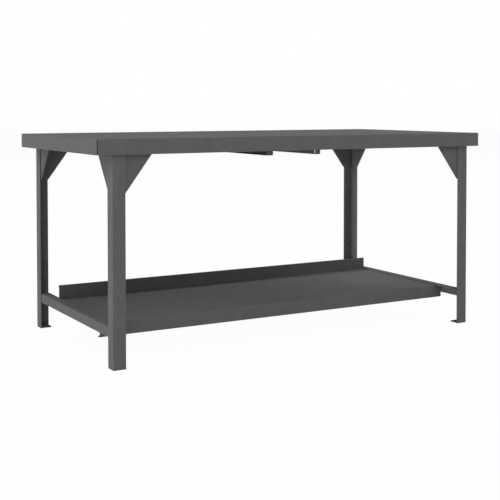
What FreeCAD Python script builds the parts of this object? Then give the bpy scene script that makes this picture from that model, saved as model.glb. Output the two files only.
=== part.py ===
import FreeCAD, Part
import math
import os

# All-welded steel assembly table: a bent sheet top on four angle-iron legs with corner gussets,
# a half-depth lower shelf carried by two end rails, and anchor pads inside the feet.
# Units are millimetres. +Z is up, +X runs along the table's length, and -Y is its front.
# The origin lies on the floor under the middle of the top.

Vector = FreeCAD.Vector

# ---- Driving dimensions ----------------------------------------------------------------------

# Table top: one sheet with four turned-down flanges, and corners relieved and welded inside.
TOP_LENGTH = 1828.8
TOP_DEPTH = 914.4
TABLE_HEIGHT = 857.8
TOP_SHEET = 2.66
TOP_FLANGE = 58.9
TOP_BEND_RADIUS = 1.0
TOP_CORNER_NOTCH = 4.2

# Two channels that stiffen the top from below, front to back.
CHANNEL_SHEET = 2.66
CHANNEL_DROP = 80.0
CHANNEL_WIDTH = 31.0
CHANNEL_LENGTH = 680.0
CHANNEL_BEND_RADIUS = 2.0
CHANNEL_PAIR_WIDTH = 264.0
CHANNEL_TAB_SLIT = 4.0
CHANNEL_TAB_GAP = 6.0

# Legs: rolled steel angle, heel outwards at each corner of the table.
LEG_SIZE = 50.8
LEG_WALL = 4.76
LEG_TOE_RADIUS = 2.0
LEG_ROOT_RADIUS = 4.0
LEG_INSET_X = 63.3
LEG_INSET_Y = 9.5

# Gussets: flat plates on the inner faces of each leg, with a blunt lower nose. Their upright
# edges stay clear of each other in the corner of the leg.
GUSSET_WALL = 4.76
GUSSET_REACH = 202.0
GUSSET_DROP = 203.0
GUSSET_CLEARANCE = 7.0

# Foot pads: plates inside the bottom of each leg, drilled for a floor anchor.
PAD_SIZE = 43.0
PAD_WALL = 4.76
PAD_HEEL_CHAMFER = 6.0
PAD_HOLE_RADIUS = 7.15

# End rails: angle bent from plate between the front and rear leg, with its flat flange on top.
RAIL_SIZE = 38.1
RAIL_WALL = 4.76
RAIL_TOE_RADIUS = 0.5
RAIL_ROOT_RADIUS = 0.5
RAIL_TOP = 152.0

# Lower shelf: one bent sheet tucked under the flat flanges of the end rails.
SHELF_SHEET = 1.9
SHELF_BEND_RADIUS = 1.6
SHELF_FRONT_Y = -286.0
SHELF_STOP_Y = 278.2
SHELF_FRONT_FLANGE = 55.0
SHELF_FRONT_LIP = 24.0
SHELF_STOP_HEIGHT = 57.2
SHELF_HEM_DEPTH = 7.6
SHELF_HEM_DROP = 8.0

# Weld beads: short fillets in the inner corners. A groove bead also fills a rounded bend.
BEAD_SIZE = 4.0
BEAD_LENGTH = 38.0
BEAD_OVERLAP = 2.0
LEG_TOP_BEADS = 3
GUSSET_EDGE_BEADS = 2
GUSSET_EDGE_LOW_GAP = 8.0
GUSSET_EDGE_HIGH_GAP = 52.0
SHELF_BEADS = 4
CHANNEL_BEADS = 5

# Clearance between an edge and what it is fitted beside.
FIT_GAP = 0.5
# Clearance of a plate's edge from the root fillet of a leg.
ROOT_GAP = 5.0

# ---- Derived places --------------------------------------------------------------------------

TOP_UNDERSIDE = TABLE_HEIGHT - TOP_SHEET
LEG_X = TOP_LENGTH / 2 - LEG_INSET_X
LEG_Y = TOP_DEPTH / 2 - LEG_INSET_Y
RAIL_BOTTOM = RAIL_TOP - RAIL_SIZE
RAIL_HEEL_RADIUS = RAIL_ROOT_RADIUS + RAIL_WALL
SHELF_TOP = RAIL_TOP - RAIL_WALL
SHELF_HALF_LENGTH = LEG_X - LEG_WALL - RAIL_WALL - RAIL_ROOT_RADIUS
STOP_HALF_LENGTH = LEG_X - LEG_WALL - RAIL_SIZE - FIT_GAP
GUSSET_HEEL = LEG_WALL + GUSSET_WALL + GUSSET_CLEARANCE
CHANNEL_BOTTOM = TOP_UNDERSIDE - CHANNEL_DROP
CHANNEL_EDGE_X = CHANNEL_PAIR_WIDTH / 2
CHANNEL_WEB_X = CHANNEL_EDGE_X - CHANNEL_WIDTH

# Table corners: the name and the signs of x and y.
CORNERS = {
    "front_left": (-1, -1),
    "front_right": (1, -1),
    "rear_left": (-1, 1),
    "rear_right": (1, 1),
}
ENDS = {"left": -1, "right": 1}


# ---- Shape helpers ---------------------------------------------------------------------------

def box(x0, x1, y0, y1, z0, z1):
    """Box between two values on each axis, given in either order."""
    low = Vector(min(x0, x1), min(y0, y1), min(z0, z1))
    return Part.makeBox(abs(x1 - x0), abs(y1 - y0), abs(z1 - z0), low)


def rounded_face(corners):
    """Flat face whose outline passes (point, radius) corners; a radius of 0 leaves one sharp."""
    tangents = []
    count = len(corners)
    for i, (point, radius) in enumerate(corners):
        back = (corners[i - 1][0] - point).normalize()
        ahead = (corners[(i + 1) % count][0] - point).normalize()
        if radius == 0:
            tangents.append((point, None, point))
            continue
        half = back.getAngle(ahead) / 2
        run = radius / math.tan(half)
        middle = point + (back + ahead).normalize() * (radius / math.sin(half) - radius)
        tangents.append((point + back * run, middle, point + ahead * run))
    edges = []
    for i, (start, middle, end) in enumerate(tangents):
        if middle is not None:
            edges.append(Part.Arc(start, middle, end).toShape())
        following = tangents[(i + 1) % count][0]
        edges.append(Part.LineSegment(end, following).toShape())
    return Part.Face(Part.Wire(edges))


def angle_outline(size, wall, toe_radius, root_radius, heel_radius=0):
    """Section of an angle as ((a, b), radius) corners, with its heel at (0, 0)."""
    return [
        ((0, 0), heel_radius),
        ((size, 0), 0),
        ((size, wall), toe_radius),
        ((wall, wall), root_radius),
        ((wall, size), toe_radius),
        ((0, size), 0),
    ]


def sheet_outline(path, wall, bend_radius):
    """Section of a bent sheet as ((a, b), radius) corners.

    path runs along one face, and the other face lies one wall to its left. The inside of
    each bend has the bend radius, and its outside has the bend radius plus the wall.
    """
    headings = []
    for (a0, b0), (a1, b1) in zip(path, path[1:]):
        length = math.hypot(a1 - a0, b1 - b0)
        headings.append(((a1 - a0) / length, (b1 - b0) / length))
    near = []
    far = []
    for i, (a, b) in enumerate(path):
        before = headings[max(i - 1, 0)]
        after = headings[min(i, len(headings) - 1)]
        spread = 1 + before[0] * after[0] + before[1] * after[1]
        shift = (-(before[1] + after[1]) * wall / spread, (before[0] + after[0]) * wall / spread)
        turn = before[0] * after[1] - before[1] * after[0]
        outer, inner = bend_radius + wall, bend_radius
        if turn == 0:
            outer, inner = 0, 0
        near.append(((a, b), outer if turn > 0 else inner))
        far.append(((a + shift[0], b + shift[1]), inner if turn > 0 else outer))
    return near + far[::-1]


def prism(outline, place, direction):
    """Solid from a section: place turns each (a, b) into a point, and direction is the run."""
    return rounded_face([(place(a, b), radius) for (a, b), radius in outline]).extrude(direction)


def bead(start, end, side_a, side_b):
    """Fillet weld along start-end: a three-sided bar whose two sides, side_a and side_b,
    lie on the faces that it joins."""
    return rounded_face([(start, 0), (start + side_a, 0), (start + side_b, 0)]).extrude(end - start)


def stitches(low, high, count):
    """Spans of count beads spread evenly between two values."""
    pitch = (high - low - BEAD_LENGTH) / (count - 1)
    return [(low + i * pitch, low + i * pitch + BEAD_LENGTH) for i in range(count)]


class Corner:
    """One corner of the table, measured inwards from the outer faces of its leg.

    u runs inwards along the table's length and v inwards along its depth.
    """

    def __init__(self, sign_x, sign_y):
        self.sign_x = sign_x
        self.sign_y = sign_y
        self.along_u = Vector(-sign_x, 0, 0)
        self.along_v = Vector(0, -sign_y, 0)

    def point(self, u, v, z, swap=False):
        """Point at (u, v, z), or its mirror image across the leg's own diagonal."""
        if swap:
            u, v = v, u
        return Vector(self.sign_x * (LEG_X - u), self.sign_y * (LEG_Y - v), z)

    def inwards(self, swap):
        """Direction away from the leg flange along the table's length, or the swapped one."""
        return self.along_u if swap else self.along_v


# ---- Pieces ----------------------------------------------------------------------------------

def make_top_pan():
    """Top sheet with four down flanges, rounded bends and square corner reliefs."""
    half_x, half_y = TOP_LENGTH / 2, TOP_DEPTH / 2
    bottom = TABLE_HEIGHT - TOP_FLANGE

    def block(inset, height, radius):
        solid = box(-half_x + inset, half_x - inset, -half_y + inset, half_y - inset, bottom, height)
        rim = [edge for edge in solid.Edges if edge.BoundBox.ZMin > (bottom + height) / 2]
        return solid.makeFillet(radius, rim)

    outer = block(0, TABLE_HEIGHT, TOP_BEND_RADIUS + TOP_SHEET)
    pan = outer.cut(block(TOP_SHEET, TOP_UNDERSIDE, TOP_BEND_RADIUS))
    for sign_x, sign_y in CORNERS.values():
        inner_x = sign_x * (half_x - TOP_CORNER_NOTCH)
        inner_y = sign_y * (half_y - TOP_CORNER_NOTCH)
        pan = pan.cut(box(inner_x, sign_x * half_x, inner_y, sign_y * half_y, bottom, TABLE_HEIGHT))
    return pan


def make_top_channel(sign_x):
    """Formed channel under the top, open to its end of the table, with a tab turned up at
    each end of its lower flange."""
    half_length = CHANNEL_LENGTH / 2
    # Walked from the top flange down, the wall lies to the left of the path.
    path = [
        (CHANNEL_EDGE_X, TOP_UNDERSIDE),
        (CHANNEL_WEB_X, TOP_UNDERSIDE),
        (CHANNEL_WEB_X, CHANNEL_BOTTOM),
        (CHANNEL_EDGE_X, CHANNEL_BOTTOM),
    ]

    def place(outwards, z):
        return Vector(sign_x * outwards, -half_length, z)

    outline = sheet_outline(path, CHANNEL_SHEET, CHANNEL_BEND_RADIUS)
    channel = prism(outline, place, Vector(0, CHANNEL_LENGTH, 0))
    web_inside = sign_x * (CHANNEL_WEB_X + CHANNEL_SHEET)
    tab_start = web_inside + sign_x * CHANNEL_TAB_SLIT
    tab_end = sign_x * CHANNEL_EDGE_X
    tab_top = TOP_UNDERSIDE - CHANNEL_SHEET - CHANNEL_TAB_GAP
    slit_top = CHANNEL_BOTTOM + CHANNEL_SHEET + CHANNEL_BEND_RADIUS
    for sign_y in (-1, 1):
        face_y = sign_y * half_length
        inner_y = face_y - sign_y * CHANNEL_SHEET
        tab = box(tab_start, tab_end, inner_y, face_y, CHANNEL_BOTTOM, tab_top)
        slit = box(web_inside, tab_start, inner_y, face_y, slit_top, tab_top)
        channel = channel.fuse(tab).cut(slit)
    return channel.removeSplitter()


def make_leg(corner):
    """Rolled angle from the floor to the underside of the top."""
    outline = angle_outline(LEG_SIZE, LEG_WALL, LEG_TOE_RADIUS, LEG_ROOT_RADIUS)
    return prism(outline, lambda u, v: corner.point(u, v, 0), Vector(0, 0, TOP_UNDERSIDE))


def make_gusset(corner, swap):
    """Plate on the inside of one leg flange; swap puts it on the flange at the table's end."""
    nose_z = TOP_UNDERSIDE - GUSSET_DROP
    outline = [
        ((GUSSET_HEEL, TOP_UNDERSIDE), 0),
        ((GUSSET_REACH, TOP_UNDERSIDE), 0),
        ((LEG_SIZE, nose_z), 0),
        ((GUSSET_HEEL, nose_z), 0),
    ]

    def place(run, z):
        return corner.point(run, LEG_WALL, z, swap)

    return prism(outline, place, corner.inwards(swap) * GUSSET_WALL)


def make_foot_pad(corner):
    """Anchor plate inside the foot, its heel cut off to clear the leg's root fillet."""
    near, far = LEG_WALL, LEG_WALL + PAD_SIZE
    outline = [
        ((near + PAD_HEEL_CHAMFER, near), 0),
        ((far, near), 0),
        ((far, far), 0),
        ((near, far), 0),
        ((near, near + PAD_HEEL_CHAMFER), 0),
    ]
    plate = prism(outline, lambda u, v: corner.point(u, v, 0), Vector(0, 0, PAD_WALL))
    middle = (near + far) / 2
    hole = Part.makeCylinder(PAD_HOLE_RADIUS, PAD_WALL, corner.point(middle, middle, 0))
    return plate.cut(hole)


def make_end_rail(sign_x):
    """Bent angle inside the two legs of one end, upright flange outwards, flat flange on top."""
    outer_x = sign_x * (LEG_X - LEG_WALL)
    half_length = LEG_Y - LEG_WALL - ROOT_GAP
    outline = angle_outline(RAIL_SIZE, RAIL_WALL, RAIL_TOE_RADIUS, RAIL_ROOT_RADIUS,
                            RAIL_HEEL_RADIUS)

    def place(inwards, down):
        return Vector(outer_x - sign_x * inwards, -half_length, RAIL_TOP - down)

    return prism(outline, place, Vector(0, 2 * half_length, 0))


def make_shelf_pan():
    """Shelf sheet: returned front flange, flat deck, and a back stop with an open hem.

    The stop is shorter than the deck, because it stands between the rails' flat flanges.
    """
    front_bottom = SHELF_TOP - SHELF_FRONT_FLANGE
    stop_top = SHELF_TOP + SHELF_STOP_HEIGHT
    stop_back = SHELF_STOP_Y + SHELF_HEM_DEPTH
    # Walked from the stop to the front, the wall lies to the left of the path.
    path = [
        (stop_back, stop_top - SHELF_HEM_DROP),
        (stop_back, stop_top),
        (SHELF_STOP_Y, stop_top),
        (SHELF_STOP_Y, SHELF_TOP),
        (SHELF_FRONT_Y, SHELF_TOP),
        (SHELF_FRONT_Y, front_bottom),
        (SHELF_FRONT_Y + SHELF_FRONT_LIP, front_bottom),
    ]
    outline = sheet_outline(path, SHELF_SHEET, SHELF_BEND_RADIUS)
    shelf = prism(outline, lambda y, z: Vector(-SHELF_HALF_LENGTH, y, z),
                  Vector(2 * SHELF_HALF_LENGTH, 0, 0))
    bend_start = SHELF_STOP_Y - SHELF_BEND_RADIUS
    for sign_x in ENDS.values():
        ends = box(sign_x * STOP_HALF_LENGTH, sign_x * SHELF_HALF_LENGTH,
                   bend_start, stop_back, SHELF_TOP - SHELF_SHEET, stop_top)
        shelf = shelf.cut(ends)
    return shelf


def make_leg_welds(corner):
    """Beads of one corner: gussets to top and leg, end rail to leg, pad to leg."""
    down = Vector(0, 0, -BEAD_SIZE)
    up = Vector(0, 0, BEAD_SIZE)
    gusset_face = LEG_WALL + GUSSET_WALL
    nose_z = TOP_UNDERSIDE - GUSSET_DROP
    nose_span = (GUSSET_HEEL, LEG_SIZE - LEG_TOE_RADIUS)
    rail_span = (LEG_WALL + ROOT_GAP, LEG_SIZE - LEG_TOE_RADIUS)
    pad_span = (LEG_WALL + PAD_HEEL_CHAMFER, LEG_WALL + PAD_SIZE - LEG_TOE_RADIUS)
    beads = []

    def add(span, offset, z, swap, vertical):
        start = corner.point(span[0], offset, z, swap)
        end = corner.point(span[1], offset, z, swap)
        beads.append(bead(start, end, corner.inwards(swap) * BEAD_SIZE, vertical))

    for swap in (False, True):
        for span in stitches(GUSSET_HEEL, GUSSET_REACH - BEAD_SIZE, LEG_TOP_BEADS):
            add(span, gusset_face, TOP_UNDERSIDE, swap, down)
        # The upper bead starts below the flange of the top, where a torch still reaches it.
        for low, high in stitches(nose_z + GUSSET_EDGE_LOW_GAP,
                                  TOP_UNDERSIDE - GUSSET_EDGE_HIGH_GAP, GUSSET_EDGE_BEADS):
            beads.append(bead(corner.point(GUSSET_HEEL, LEG_WALL, low, swap),
                              corner.point(GUSSET_HEEL, LEG_WALL, high, swap),
                              corner.inwards(not swap) * -BEAD_SIZE,
                              corner.inwards(swap) * BEAD_SIZE))
        add(nose_span, LEG_WALL, nose_z, swap, down)
        add(pad_span, LEG_WALL, PAD_WALL, swap, up)
    add(rail_span, LEG_WALL, RAIL_BOTTOM, True, down)
    # An upright bead along the leg's toe edge, on the outer face of the rail.
    toe_low = corner.point(LEG_WALL, LEG_SIZE, RAIL_BOTTOM)
    toe_high = corner.point(LEG_WALL, LEG_SIZE, RAIL_TOP - RAIL_HEEL_RADIUS)
    beads.append(bead(toe_low, toe_high, corner.along_v * BEAD_SIZE, corner.along_u * -BEAD_SIZE))
    return Part.makeCompound(beads)


def make_top_welds():
    """Upright beads inside the four corners of the top, which close the reliefs."""
    low = TABLE_HEIGHT - TOP_FLANGE + FIT_GAP
    high = TOP_UNDERSIDE - TOP_BEND_RADIUS
    beads = []
    for sign_x, sign_y in CORNERS.values():
        x = sign_x * (TOP_LENGTH / 2 - TOP_SHEET)
        y = sign_y * (TOP_DEPTH / 2 - TOP_SHEET)
        beads.append(bead(Vector(x, y, low), Vector(x, y, high),
                          Vector(-sign_x * BEAD_SIZE, 0, 0), Vector(0, -sign_y * BEAD_SIZE, 0)))
    return Part.makeCompound(beads)


def make_shelf_welds():
    """Beads under the deck, which bridge to the upright flanges of the end rails."""
    z = SHELF_TOP - SHELF_SHEET
    low = SHELF_FRONT_Y + SHELF_FRONT_LIP + BEAD_LENGTH
    high = SHELF_STOP_Y - BEAD_LENGTH
    beads = []
    for sign_x in ENDS.values():
        rail_face = sign_x * (SHELF_HALF_LENGTH + RAIL_ROOT_RADIUS)
        under_deck = Vector(-sign_x * (RAIL_ROOT_RADIUS + BEAD_SIZE), 0, 0)
        for start, end in stitches(low, high, SHELF_BEADS):
            beads.append(bead(Vector(rail_face, start, z), Vector(rail_face, end, z),
                              under_deck, Vector(0, 0, -BEAD_SIZE)))
    return Part.makeCompound(beads)


def make_channel_welds():
    """Beads along both sides of each channel, where it meets the underside of the top.

    On the web's side the bead is taller, because it covers the channel's rounded bend.
    """
    half_length = CHANNEL_LENGTH / 2
    bend = CHANNEL_BEND_RADIUS + CHANNEL_SHEET
    sides = [
        (CHANNEL_WEB_X, -BEAD_SIZE, bend + BEAD_OVERLAP),
        (CHANNEL_EDGE_X, BEAD_SIZE, CHANNEL_SHEET),
    ]
    beads = []
    for sign_x in ENDS.values():
        for outwards, across, drop in sides:
            x = sign_x * outwards
            for start, end in stitches(-half_length, half_length, CHANNEL_BEADS):
                beads.append(bead(Vector(x, start, TOP_UNDERSIDE), Vector(x, end, TOP_UNDERSIDE),
                                  Vector(sign_x * across, 0, 0), Vector(0, 0, -drop)))
    return Part.makeCompound(beads)


# ---- Assembly --------------------------------------------------------------------------------

def build():
    """All pieces by node name."""
    nodes = {"top_pan": make_top_pan()}
    for end, sign_x in ENDS.items():
        nodes["top_channel_" + end] = make_top_channel(sign_x)
        nodes["end_rail_" + end] = make_end_rail(sign_x)
    for name, signs in CORNERS.items():
        corner = Corner(*signs)
        nodes["leg_" + name] = make_leg(corner)
        nodes["gusset_long_" + name] = make_gusset(corner, swap=False)
        nodes["gusset_end_" + name] = make_gusset(corner, swap=True)
        nodes["foot_pad_" + name] = make_foot_pad(corner)
        nodes["welds_leg_" + name] = make_leg_welds(corner)
    nodes["shelf_pan"] = make_shelf_pan()
    nodes["welds_top"] = make_top_welds()
    nodes["welds_shelf"] = make_shelf_welds()
    nodes["welds_channels"] = make_channel_welds()
    return nodes


def main():
    os.makedirs("parts", exist_ok=True)
    for name, shape in build().items():
        if not shape.isValid():
            raise ValueError("invalid shape: " + name)
        print(name, len(shape.Solids), round(shape.Volume))
        shape.exportStep("parts/" + name + ".step")


main()
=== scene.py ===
import math

import bpy
import numpy as np
from bpy.props import FloatProperty, FloatVectorProperty, PointerProperty
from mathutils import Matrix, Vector


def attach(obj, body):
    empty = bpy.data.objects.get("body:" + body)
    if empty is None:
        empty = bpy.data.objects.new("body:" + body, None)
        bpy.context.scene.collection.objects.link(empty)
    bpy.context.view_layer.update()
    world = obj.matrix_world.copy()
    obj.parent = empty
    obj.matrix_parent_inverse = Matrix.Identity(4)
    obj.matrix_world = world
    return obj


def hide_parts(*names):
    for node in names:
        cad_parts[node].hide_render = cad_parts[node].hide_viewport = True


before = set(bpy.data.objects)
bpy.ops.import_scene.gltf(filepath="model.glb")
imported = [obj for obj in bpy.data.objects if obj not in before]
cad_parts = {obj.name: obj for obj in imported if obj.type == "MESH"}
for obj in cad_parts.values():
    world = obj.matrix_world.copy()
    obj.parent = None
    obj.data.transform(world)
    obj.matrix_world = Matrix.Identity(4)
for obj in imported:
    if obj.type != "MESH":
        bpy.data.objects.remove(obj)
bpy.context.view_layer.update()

bl_info = {
    "name": "Assembly table",
    "version": (1, 0, 0),
    "blender": (4, 5, 0),
    "location": "3D View > Sidebar > Table",
    "description": "Powder coat, weld beads and studio for a welded steel assembly table",
    "category": "Object",
}

BODY = "root"
CORNERS = ("front_left", "front_right", "rear_left", "rear_right")
ENDS = ("left", "right")
MM = 0.001


def linear(code):
    """Linear RGB of an sRGB hex colour: each channel follows the sRGB curve."""
    channels = [int(code[i:i + 2], 16) / 255 for i in (1, 3, 5)]
    return tuple(c / 12.92 if c <= 0.04045 else ((c + 0.055) / 1.055) ** 2.4 for c in channels)


# ---- Settings --------------------------------------------------------------------------------

class CoatSettings(bpy.types.PropertyGroup):
    """Colour and texture of the powder coat."""
    colour: FloatVectorProperty(
        name="Colour", description="Mean colour of the coat",
        subtype="COLOR", size=3, min=0, max=1, default=linear("#6A6A6A"))
    cloud_contrast: FloatProperty(
        name="Cloud contrast", description="How much lighter and darker the coat gets in clouds",
        subtype="FACTOR", min=0, max=0.3, default=0.08)
    cloud_size: FloatProperty(
        name="Cloud size", description="Width of the clouds where the coat is thin or thick",
        unit="LENGTH", min=0.005, default=70 * MM)
    fleck_size: FloatProperty(
        name="Fleck size", description="Width of the fine flecks in the coat",
        unit="LENGTH", min=0.0005, default=8 * MM)
    peel_size: FloatProperty(
        name="Peel size", description="Width of one dimple of the orange peel",
        unit="LENGTH", min=0.0005, default=8 * MM)
    peel_depth: FloatProperty(
        name="Peel depth", description="Depth of the orange peel",
        unit="LENGTH", min=0, default=0.12 * MM)
    roughness: FloatProperty(
        name="Roughness", description="Mean roughness of the coat",
        subtype="FACTOR", min=0, max=1, default=0.9)
    gloss: FloatProperty(
        name="Gloss", description="Strength of the coat's reflection, very weak on a matt coat",
        subtype="FACTOR", min=0, max=1, default=0.02)


class WeldSettings(bpy.types.PropertyGroup):
    """Shape of the weld beads."""
    ripple_pitch: FloatProperty(
        name="Ripple pitch", description="Distance between two ripples of a bead",
        unit="LENGTH", min=0.0005, default=2.4 * MM)
    ripple_depth: FloatProperty(
        name="Ripple depth", description="Height of a ripple as a share of the bead's size",
        subtype="FACTOR", min=0, max=0.5, default=0.13)
    crown: FloatProperty(
        name="Crown", description="How far the bead's face bulges, as a share of its size",
        subtype="FACTOR", min=0, max=1, default=0.36)
    end_length: FloatProperty(
        name="End length", description="Length over which a bead's end is rounded off",
        unit="LENGTH", min=0.0005, default=4 * MM)


class StageSettings(bpy.types.PropertyGroup):
    """Camera, lamps and floor."""
    camera_place: FloatVectorProperty(
        name="Camera place", description="Where the camera stands",
        subtype="TRANSLATION", size=3, default=(-2.26236, -3.96639, 0.97681))
    camera_turn: FloatProperty(
        name="Camera turn", description="Turn of the camera to the right of the table's depth",
        subtype="ANGLE", default=0.52954)
    camera_tilt: FloatProperty(
        name="Camera tilt", description="How far the camera looks down",
        subtype="ANGLE", default=0.03248)
    camera_lens: FloatProperty(
        name="Focal length", description="Focal length of the camera in millimetres",
        subtype="DISTANCE_CAMERA", min=1, default=73.69)
    camera_shift: FloatVectorProperty(
        name="Camera shift", description="Sideways and upwards shift, as a share of the frame",
        size=2, default=(-0.0298, -0.2205))
    ambient: FloatProperty(
        name="Ambient light", description="Strength of the even light from all around",
        min=0, default=0.02)
    lamp_brightness: FloatProperty(
        name="Lamp brightness", description="Factor on the power of every softbox",
        min=0, default=1.0)
    lamp_distance: FloatProperty(
        name="Lamp distance", description="Distance of the softboxes from the table",
        unit="LENGTH", min=3, default=16)
    lamp_width: FloatProperty(
        name="Softbox width", description="Width of every softbox",
        unit="LENGTH", min=0.5, default=7)
    floor_colour: FloatVectorProperty(
        name="Floor colour", description="Colour of the studio floor",
        subtype="COLOR", size=3, min=0, max=1, default=linear("#EDEDED"))
    floor_glow: FloatProperty(
        name="Floor whiteness", description="How far the floor is lifted to the white background",
        subtype="FACTOR", min=0, max=1, default=0.975)
    floor_radius: FloatProperty(
        name="Floor radius", description="Radius of the round studio floor",
        unit="LENGTH", min=1, default=40)


# ---- Materials -------------------------------------------------------------------------------

# Share of the fine flecks in the mottle of the coat. The clouds make up the rest.
FLECK_SHARE = 0.55
# Range of the mottle that goes from the darkest to the lightest coat.
MOTTLE_RANGE = (0.38, 0.62)
# Range of the flecks that goes from the smoothest to the roughest coat, and how far those two
# lie from the mean roughness.
FLECK_RANGE = (0.3, 0.7)
ROUGHNESS_SPREAD = 0.06


def add_node(tree, kind, inputs, **settings):
    """Adds one shader node with its settings, and fills or links each of its inputs."""
    node = tree.nodes.new(kind)
    for name, value in settings.items():
        setattr(node, name, value)
    for socket, value in inputs.items():
        if isinstance(value, bpy.types.NodeSocket):
            tree.links.new(value, node.inputs[socket])
        else:
            node.inputs[socket].default_value = value
    return node


def powder_coat(name, stretch=(1, 1, 1), peel=1.0, darker=0.0):
    """Powder coat, sprayed dry onto steel and baked until it flows.

    It gives the eye an even, dull grey with a shallow orange peel, faint clouds where the coat
    is thinner, and hardly any reflection. stretch pulls the pattern along a rolled section, peel
    scales the orange peel, and darker takes that share off the colour: painted shade on the
    gussets and in the corner reliefs of the top, and a slightly darker tone on the weld beads.
    """
    settings = bpy.context.scene.table_coat
    material = bpy.data.materials.new(name)
    material.use_nodes = True
    tree = material.node_tree
    tree.nodes.clear()
    place = add_node(tree, "ShaderNodeTexCoord", {}).outputs["Object"]
    along = add_node(tree, "ShaderNodeMapping", {"Vector": place, "Scale": stretch})
    along = along.outputs["Vector"]
    clouds = add_node(tree, "ShaderNodeTexNoise", {
        "Vector": along, "Scale": 1 / settings.cloud_size, "Detail": 4.0, "Roughness": 0.55})
    # Real flecks are under 1 mm and the dimples of a real orange peel 2 to 3 mm, too fine to
    # show from a few metres. Both are drawn 8 mm wide, and the peel deeper to the same slope.
    flecks = add_node(tree, "ShaderNodeTexNoise", {
        "Vector": along, "Scale": 1 / settings.fleck_size, "Detail": 2.0, "Roughness": 0.6})
    dimples = add_node(tree, "ShaderNodeTexNoise", {
        "Vector": along, "Scale": 1 / settings.peel_size, "Detail": 2.0, "Roughness": 0.4})
    mottle = add_node(tree, "ShaderNodeMix", {
        "Factor": FLECK_SHARE, "A": clouds.outputs["Fac"], "B": flecks.outputs["Fac"]})
    spread = settings.cloud_contrast
    light = [c * (1 + spread) * (1 - darker) for c in settings.colour] + [1]
    dark = [c * (1 - spread) * (1 - darker) for c in settings.colour] + [1]
    level = add_node(tree, "ShaderNodeMapRange", {
        "Value": mottle.outputs["Result"],
        "From Min": MOTTLE_RANGE[0], "From Max": MOTTLE_RANGE[1]})
    colour = add_node(tree, "ShaderNodeMix", {
        "Factor": level.outputs["Result"], "A": dark, "B": light}, data_type="RGBA")
    rough = add_node(tree, "ShaderNodeMapRange", {
        "Value": flecks.outputs["Fac"], "From Min": FLECK_RANGE[0], "From Max": FLECK_RANGE[1],
        "To Min": settings.roughness - ROUGHNESS_SPREAD,
        "To Max": settings.roughness + ROUGHNESS_SPREAD})
    bump = add_node(tree, "ShaderNodeBump", {
        "Height": dimples.outputs["Fac"], "Distance": settings.peel_depth * peel,
        "Strength": 1.0})
    shader = add_node(tree, "ShaderNodeBsdfPrincipled", {
        "Base Color": colour.outputs["Result"], "Roughness": rough.outputs["Result"],
        "Specular IOR Level": settings.gloss, "Normal": bump.outputs["Normal"]})
    add_node(tree, "ShaderNodeOutputMaterial", {"Surface": shader.outputs["BSDF"]})
    return material


def dress(nodes, material):
    """Gives each of the named CAD nodes that one material."""
    for name in nodes:
        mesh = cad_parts[name].data
        mesh.materials.clear()
        mesh.materials.append(material)


# ---- Weld beads ------------------------------------------------------------------------------

# The CAD bar of a bead has two triangular ends and three oblong sides, all in triangles.
BEAD_TRIANGLES = 8
# A normal's share of an axis counts above this, so only a sloping face has two of them.
SLOPING = 0.1

# Points across the face of a bead, rings of points along a ripple, and fewest ripples.
FACE_POINTS = 9
RINGS_PER_RIPPLE = 8
LEAST_RIPPLES = 3
# How far a ripple trails at the toes, in ripples, and how steeply it drops.
RIPPLE_TRAIL = 0.8
RIPPLE_DROP = 5
# A bead swells and shrinks by this share of its size, this many times along its run.
SWELL = 0.05
SWELL_TURNS = 1.7
# Size of the very end of a bead, as a share of its full size.
END_SHARE = 0.3
# Shift of the ripples from one bead to the next, in ripples.
PHASE_STEP = 0.37
# Edges sharper than this stay sharp: the toes of a bead and its ends.
SHARP_ANGLE = math.radians(50)


def bead_seats(node):
    """Root point, run and two sides of each bead, read from its CAD solid.

    Each solid is a three-sided bar square to the axes. Its longest side is the run, and its
    sloping face looks away from the root, so that face's normal gives the sense of both sides.
    """
    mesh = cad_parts[node].data
    points = np.empty(len(mesh.vertices) * 3)
    mesh.vertices.foreach_get("co", points)
    corners = np.empty(len(mesh.loops), int)
    mesh.loops.foreach_get("vertex_index", corners)
    normals = np.empty(len(mesh.polygons) * 3)
    mesh.polygons.foreach_get("normal", normals)
    points = points.reshape(-1, 3)[corners].reshape(-1, BEAD_TRIANGLES * 3, 3)
    normals = normals.reshape(-1, BEAD_TRIANGLES, 3)
    low, high = points.min(axis=1), points.max(axis=1)
    size = high - low
    run_axis = size.argmax(axis=1)
    sloping = (np.abs(normals) > SLOPING).sum(axis=2, keepdims=True) == 2
    sense = np.sign((normals * sloping).sum(axis=1))
    root = np.where(sense >= 0, low, high)
    axes = np.eye(3)
    cross = np.array([[1, 2], [2, 0], [0, 1]])[run_axis]
    run = axes[run_axis] * size.max(axis=1, keepdims=True)
    sides = [axes[cross[:, i]] * (sense * size)[np.arange(len(size)), cross[:, i]][:, None]
             for i in (0, 1)]
    # With the sides in this order, side one x side two points along the run.
    turn = np.einsum("ij,ij->i", np.cross(sides[0], sides[1]), run) < 0
    first = np.where(turn[:, None], sides[1], sides[0])
    second = np.where(turn[:, None], sides[0], sides[1])
    return root, run, first, second


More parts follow.
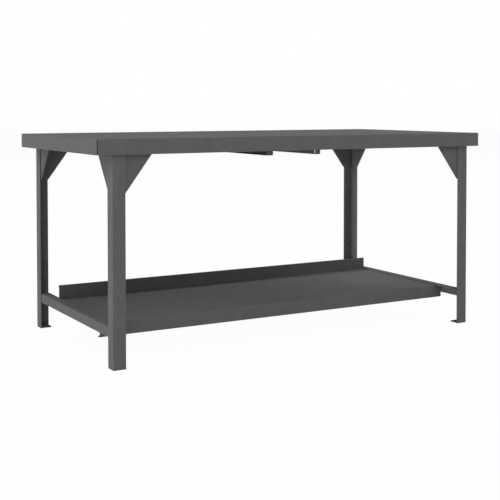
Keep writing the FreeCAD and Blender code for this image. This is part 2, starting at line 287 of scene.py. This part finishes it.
def rippled_bead(root, run, first, second, settings, phase):
    """Rings of points round one bead: (rings, 1 + FACE_POINTS, 3).

    u goes along the run and t across the face, both from 0 to 1. The face is the straight
    line between the two toes plus a parabola: side one x (1 - t) + side two x t + 2 x crown x
    t (1 - t) x (sum of the sides). That is scaled by a slow sine along the run, by a ripple
    that rises as a square root, drops steeply like stacked coins and trails at the toes, and
    by a quarter-ellipse at both ends.
    """
    length = np.linalg.norm(run)
    ripples = max(LEAST_RIPPLES, round(length / settings.ripple_pitch))
    u = np.linspace(0, 1, ripples * RINGS_PER_RIPPLE + 1)[:, None]
    t = np.linspace(0, 1, FACE_POINTS)[None, :]
    trail = RIPPLE_TRAIL * (2 * t - 1) ** 2
    wave = (u * ripples + phase - trail) % 1.0
    coin = np.sqrt(wave) * np.minimum(1, (1 - wave) * RIPPLE_DROP)
    swell = SWELL * np.sin(2 * np.pi * (SWELL_TURNS * u + phase))
    from_end = np.minimum(u, 1 - u) * length / settings.end_length
    near = np.clip(1 - from_end, 0, 1)
    end = END_SHARE + (1 - END_SHARE) * np.sqrt(1 - near ** 2)
    reach = end * (1 + swell - settings.ripple_depth * (1 - coin) * np.sin(np.pi * t) ** 0.5)
    bulge = settings.crown * 2 * t * (1 - t)
    face = (first * ((1 - t) + bulge)[..., None] + second * (t + bulge)[..., None])
    face = face * reach[..., None]
    base = root + run * u[..., None]
    return np.concatenate([base, base + face], axis=1)


def bead_mesh(node, settings):
    """One closed mesh of all the beads of a weld node, in quads with a flat cap at each end."""
    vertices, faces, count = [], [], 0
    width = 1 + FACE_POINTS
    for i, seat in enumerate(zip(*bead_seats(node))):
        rings = rippled_bead(*seat, settings, phase=(i * PHASE_STEP) % 1.0)
        index = count + np.arange(rings.shape[0] * width).reshape(-1, width)
        after = np.roll(index, -1, axis=1)
        quads = np.stack([index[:-1], after[:-1], after[1:], index[1:]], axis=-1)
        faces += quads.reshape(-1, 4).tolist()
        faces += [index[0, ::-1].tolist(), index[-1].tolist()]
        vertices.append(rings.reshape(-1, 3))
        count += index.size
    mesh = bpy.data.meshes.new(node + "_beads")
    mesh.from_pydata(np.concatenate(vertices), [], faces)
    mesh.shade_smooth()
    mesh.set_sharp_from_angle(angle=SHARP_ANGLE)
    return mesh


# ---- Stage -----------------------------------------------------------------------------------

# Points round the rim of the floor.
FLOOR_POINTS = 96
# Width in millimetres of the camera's sensor, which the focal length goes with.
SENSOR_WIDTH = 36
WHITE = (1, 1, 1, 1)

# Softboxes round the table: azimuth from the front towards the right and elevation, both in
# degrees, height as a share of the width, and power in watts.
SOFTBOXES = {
    "left_front_strip": (330, 5, 0.4, 269),
    "left_front_box": (330, 44, 1, 219),
    "front_box": (0, 44, 1, 445),
    "right_front_box": (60, 44, 1, 592),
    "right_box": (90, 30, 1, 510),
    "right_rear_box": (120, 44, 1, 371),
    "rear_box": (210, 44, 1, 415),
    "left_rear_box": (240, 30, 1, 644),
    "left_strip": (270, 5, 0.4, 906),
}
# The point that the softboxes face, about half way up the table.
LAMP_TARGET = Vector((0, 0, 0.4))


def seen(tree):
    """Socket that is 1 for what is seen directly, in a gloss or through glass, and else 0."""
    path = add_node(tree, "ShaderNodeLightPath", {})
    mirrored = add_node(tree, "ShaderNodeMath", {
        0: path.outputs["Is Camera Ray"], 1: path.outputs["Is Glossy Ray"]}, operation="MAXIMUM")
    return add_node(tree, "ShaderNodeMath", {
        0: mirrored.outputs["Value"], 1: path.outputs["Is Transmission Ray"]},
        operation="MAXIMUM").outputs["Value"]


def studio_floor(settings):
    """Flat round floor at the table's feet: a ring of points joined into one face."""
    angle = np.linspace(0, 2 * np.pi, FLOOR_POINTS, endpoint=False)
    ring = np.stack([np.cos(angle), np.sin(angle), np.zeros_like(angle)], axis=1)
    mesh = bpy.data.meshes.new("studio_floor")
    mesh.from_pydata(ring * settings.floor_radius, [], [list(range(len(angle)))])
    floor = bpy.data.objects.new("studio_floor", mesh)
    material = bpy.data.materials.new("White studio vinyl")
    material.use_nodes = True
    tree = material.node_tree
    tree.nodes.clear()
    # Matt vinyl. What looks at it directly or in a gloss sees it lifted to the white
    # background, and the part that stays vinyl keeps the table's shadow.
    share = add_node(tree, "ShaderNodeMath", {
        0: seen(tree), 1: settings.floor_glow}, operation="MULTIPLY")
    vinyl = add_node(tree, "ShaderNodeBsdfDiffuse", {"Color": [*settings.floor_colour, 1]})
    glow = add_node(tree, "ShaderNodeEmission", {"Color": WHITE, "Strength": 1.0})
    mixed = add_node(tree, "ShaderNodeMixShader", {
        "Fac": share.outputs["Value"], 1: vinyl.outputs["BSDF"], 2: glow.outputs["Emission"]})
    add_node(tree, "ShaderNodeOutputMaterial", {"Surface": mixed.outputs["Shader"]})
    mesh.materials.append(material)
    return floor


def studio_world(settings):
    """Even light all around, and plain white where the surroundings themselves are seen."""
    world = bpy.data.worlds.new("White studio")
    world.use_nodes = True
    tree = world.node_tree
    tree.nodes.clear()
    lit = add_node(tree, "ShaderNodeBackground", {"Color": WHITE, "Strength": settings.ambient})
    white = add_node(tree, "ShaderNodeBackground", {"Color": WHITE, "Strength": 1.0})
    mixed = add_node(tree, "ShaderNodeMixShader", {
        "Fac": seen(tree), 1: lit.outputs["Background"], 2: white.outputs["Background"]})
    add_node(tree, "ShaderNodeOutputWorld", {"Surface": mixed.outputs["Shader"]})
    return world


def softbox(name, settings):
    """One soft rectangular lamp at its place on a sphere round the table, facing it."""
    azimuth, elevation, share, power = SOFTBOXES[name]
    azimuth, elevation = math.radians(azimuth), math.radians(elevation)
    away = Vector((math.cos(elevation) * math.sin(azimuth),
                   -math.cos(elevation) * math.cos(azimuth), math.sin(elevation)))
    lamp = bpy.data.lights.new(name, "AREA")
    lamp.shape = "RECTANGLE"
    lamp.size, lamp.size_y = settings.lamp_width, settings.lamp_width * share
    lamp.energy = power * settings.lamp_brightness
    box = bpy.data.objects.new(name, lamp)
    box.location = LAMP_TARGET + away * settings.lamp_distance
    box.rotation_euler = (-away).to_track_quat("-Z", "Y").to_euler()
    return box


# ---- Operators -------------------------------------------------------------------------------

class TABLE_OT_coat_sheets(bpy.types.Operator):
    """Coats the bent sheets: the top, the channels under it and the lower shelf"""
    bl_idname = "table.coat_sheets"
    bl_label = "Coat the bent sheets"

    def execute(self, context):
        sheets = ["top_pan", "shelf_pan"] + ["top_channel_" + end for end in ENDS]
        # Cold-rolled sheet is flat and smooth, so the coat keeps a fine, even peel.
        dress(sheets, powder_coat("Powder coat on cold-rolled sheet"))
        return {"FINISHED"}


class TABLE_OT_coat_angles(bpy.types.Operator):
    """Coats the steel angles: the four legs and the two end rails"""
    bl_idname = "table.coat_angles"
    bl_label = "Coat the angles"

    def execute(self, context):
        # Hot-rolled angle keeps faint long marks of the rolls under the coat.
        legs = powder_coat("Powder coat on hot-rolled legs", stretch=(1, 1, 0.2), peel=1.4)
        rails = powder_coat("Powder coat on hot-rolled rails", stretch=(1, 0.2, 1), peel=1.4)
        dress(["leg_" + corner for corner in CORNERS], legs)
        dress(["end_rail_" + end for end in ENDS], rails)
        return {"FINISHED"}


class TABLE_OT_coat_plates(bpy.types.Operator):
    """Coats the cut plates: the gussets and the foot pads"""
    bl_idname = "table.coat_plates"
    bl_label = "Coat the cut plates"

    def execute(self, context):
        # Cut plate is a little rougher than sheet, so its coat peels more. Its colour is darkened
        # as painted shade for the gussets under the top's flange; the foot pads share this
        # material.
        plates = powder_coat("Powder coat on cut plate, darkened as painted shade", peel=1.2, darker=0.06)
        dress([kind + corner for kind in ("gusset_long_", "gusset_end_", "foot_pad_")
               for corner in CORNERS], plates)
        return {"FINISHED"}


class TABLE_OT_lay_welds(bpy.types.Operator):
    """Lays the rippled weld beads where the CAD has plain bars"""
    bl_idname = "table.lay_welds"
    bl_label = "Lay the weld beads"

    def execute(self, context):
        # The coat lies thick in the valleys of a bead, and the beads are drawn a little darker.
        # The beads in the narrow reliefs at the corners of the top are drawn nearly black, as
        # painted shade deep in those reliefs.
        coated = powder_coat("Powder coat on weld beads", peel=1.6, darker=0.05)
        shade_bead_coat = powder_coat("Mill scale under starved coat", peel=1.6, darker=0.8)
        materials = {"welds_leg_" + corner: coated for corner in CORNERS}
        materials.update(welds_shelf=coated, welds_channels=coated, welds_top=shade_bead_coat)
        for node, material in materials.items():
            mesh = bead_mesh(node, context.scene.table_welds)
            mesh.materials.append(material)
            piece = bpy.data.objects.new(node + "_beads", mesh)
            context.scene.collection.objects.link(piece)
            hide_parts(node)
            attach(piece, BODY)
        return {"FINISHED"}


class TABLE_OT_set_stage(bpy.types.Operator):
    """Sets the floor, the white surroundings, the softboxes and the camera"""
    bl_idname = "table.set_stage"
    bl_label = "Set the stage"

    def execute(self, context):
        scene = context.scene
        settings = scene.table_stage
        floor = studio_floor(settings)
        scene.collection.objects.link(floor)
        scene.world = studio_world(settings)
        for name in SOFTBOXES:
            scene.collection.objects.link(softbox(name, settings))
        camera = bpy.data.cameras.new("camera")
        camera.sensor_width = SENSOR_WIDTH
        camera.lens = settings.camera_lens
        camera.shift_x, camera.shift_y = settings.camera_shift
        stand = bpy.data.objects.new("camera", camera)
        stand.location = settings.camera_place
        stand.rotation_euler = (math.pi / 2 - settings.camera_tilt, 0, -settings.camera_turn)
        scene.collection.objects.link(stand)
        scene.camera = stand
        scene.view_settings.view_transform = "Standard"
        return {"FINISHED"}


# ---- Panel and registration ------------------------------------------------------------------

OPERATORS = (TABLE_OT_set_stage, TABLE_OT_coat_sheets, TABLE_OT_coat_angles,
             TABLE_OT_coat_plates, TABLE_OT_lay_welds)
GROUPS = {"table_coat": CoatSettings, "table_welds": WeldSettings, "table_stage": StageSettings}


class TABLE_PT_sidebar(bpy.types.Panel):
    """Settings of the table and the steps that make it"""
    bl_idname = "TABLE_PT_sidebar"
    bl_label = "Assembly table"
    bl_space_type = "VIEW_3D"
    bl_region_type = "UI"
    bl_category = "Table"

    def draw(self, context):
        for name, group in GROUPS.items():
            box = self.layout.box()
            for field in group.__annotations__:
                box.prop(getattr(context.scene, name), field)
        for operator in OPERATORS:
            self.layout.operator(operator.bl_idname)


def register():
    for cls in (*GROUPS.values(), *OPERATORS, TABLE_PT_sidebar):
        bpy.utils.register_class(cls)
    for name, group in GROUPS.items():
        setattr(bpy.types.Scene, name, PointerProperty(type=group))


def unregister():
    for name in GROUPS:
        delattr(bpy.types.Scene, name)
    for cls in (TABLE_PT_sidebar, *reversed(OPERATORS), *reversed(GROUPS.values())):
        bpy.utils.unregister_class(cls)


def main():
    register()
    for operator in OPERATORS:
        group, name = operator.bl_idname.split(".")
        getattr(getattr(bpy.ops, group), name)()


if __name__ == "__main__":
    main()
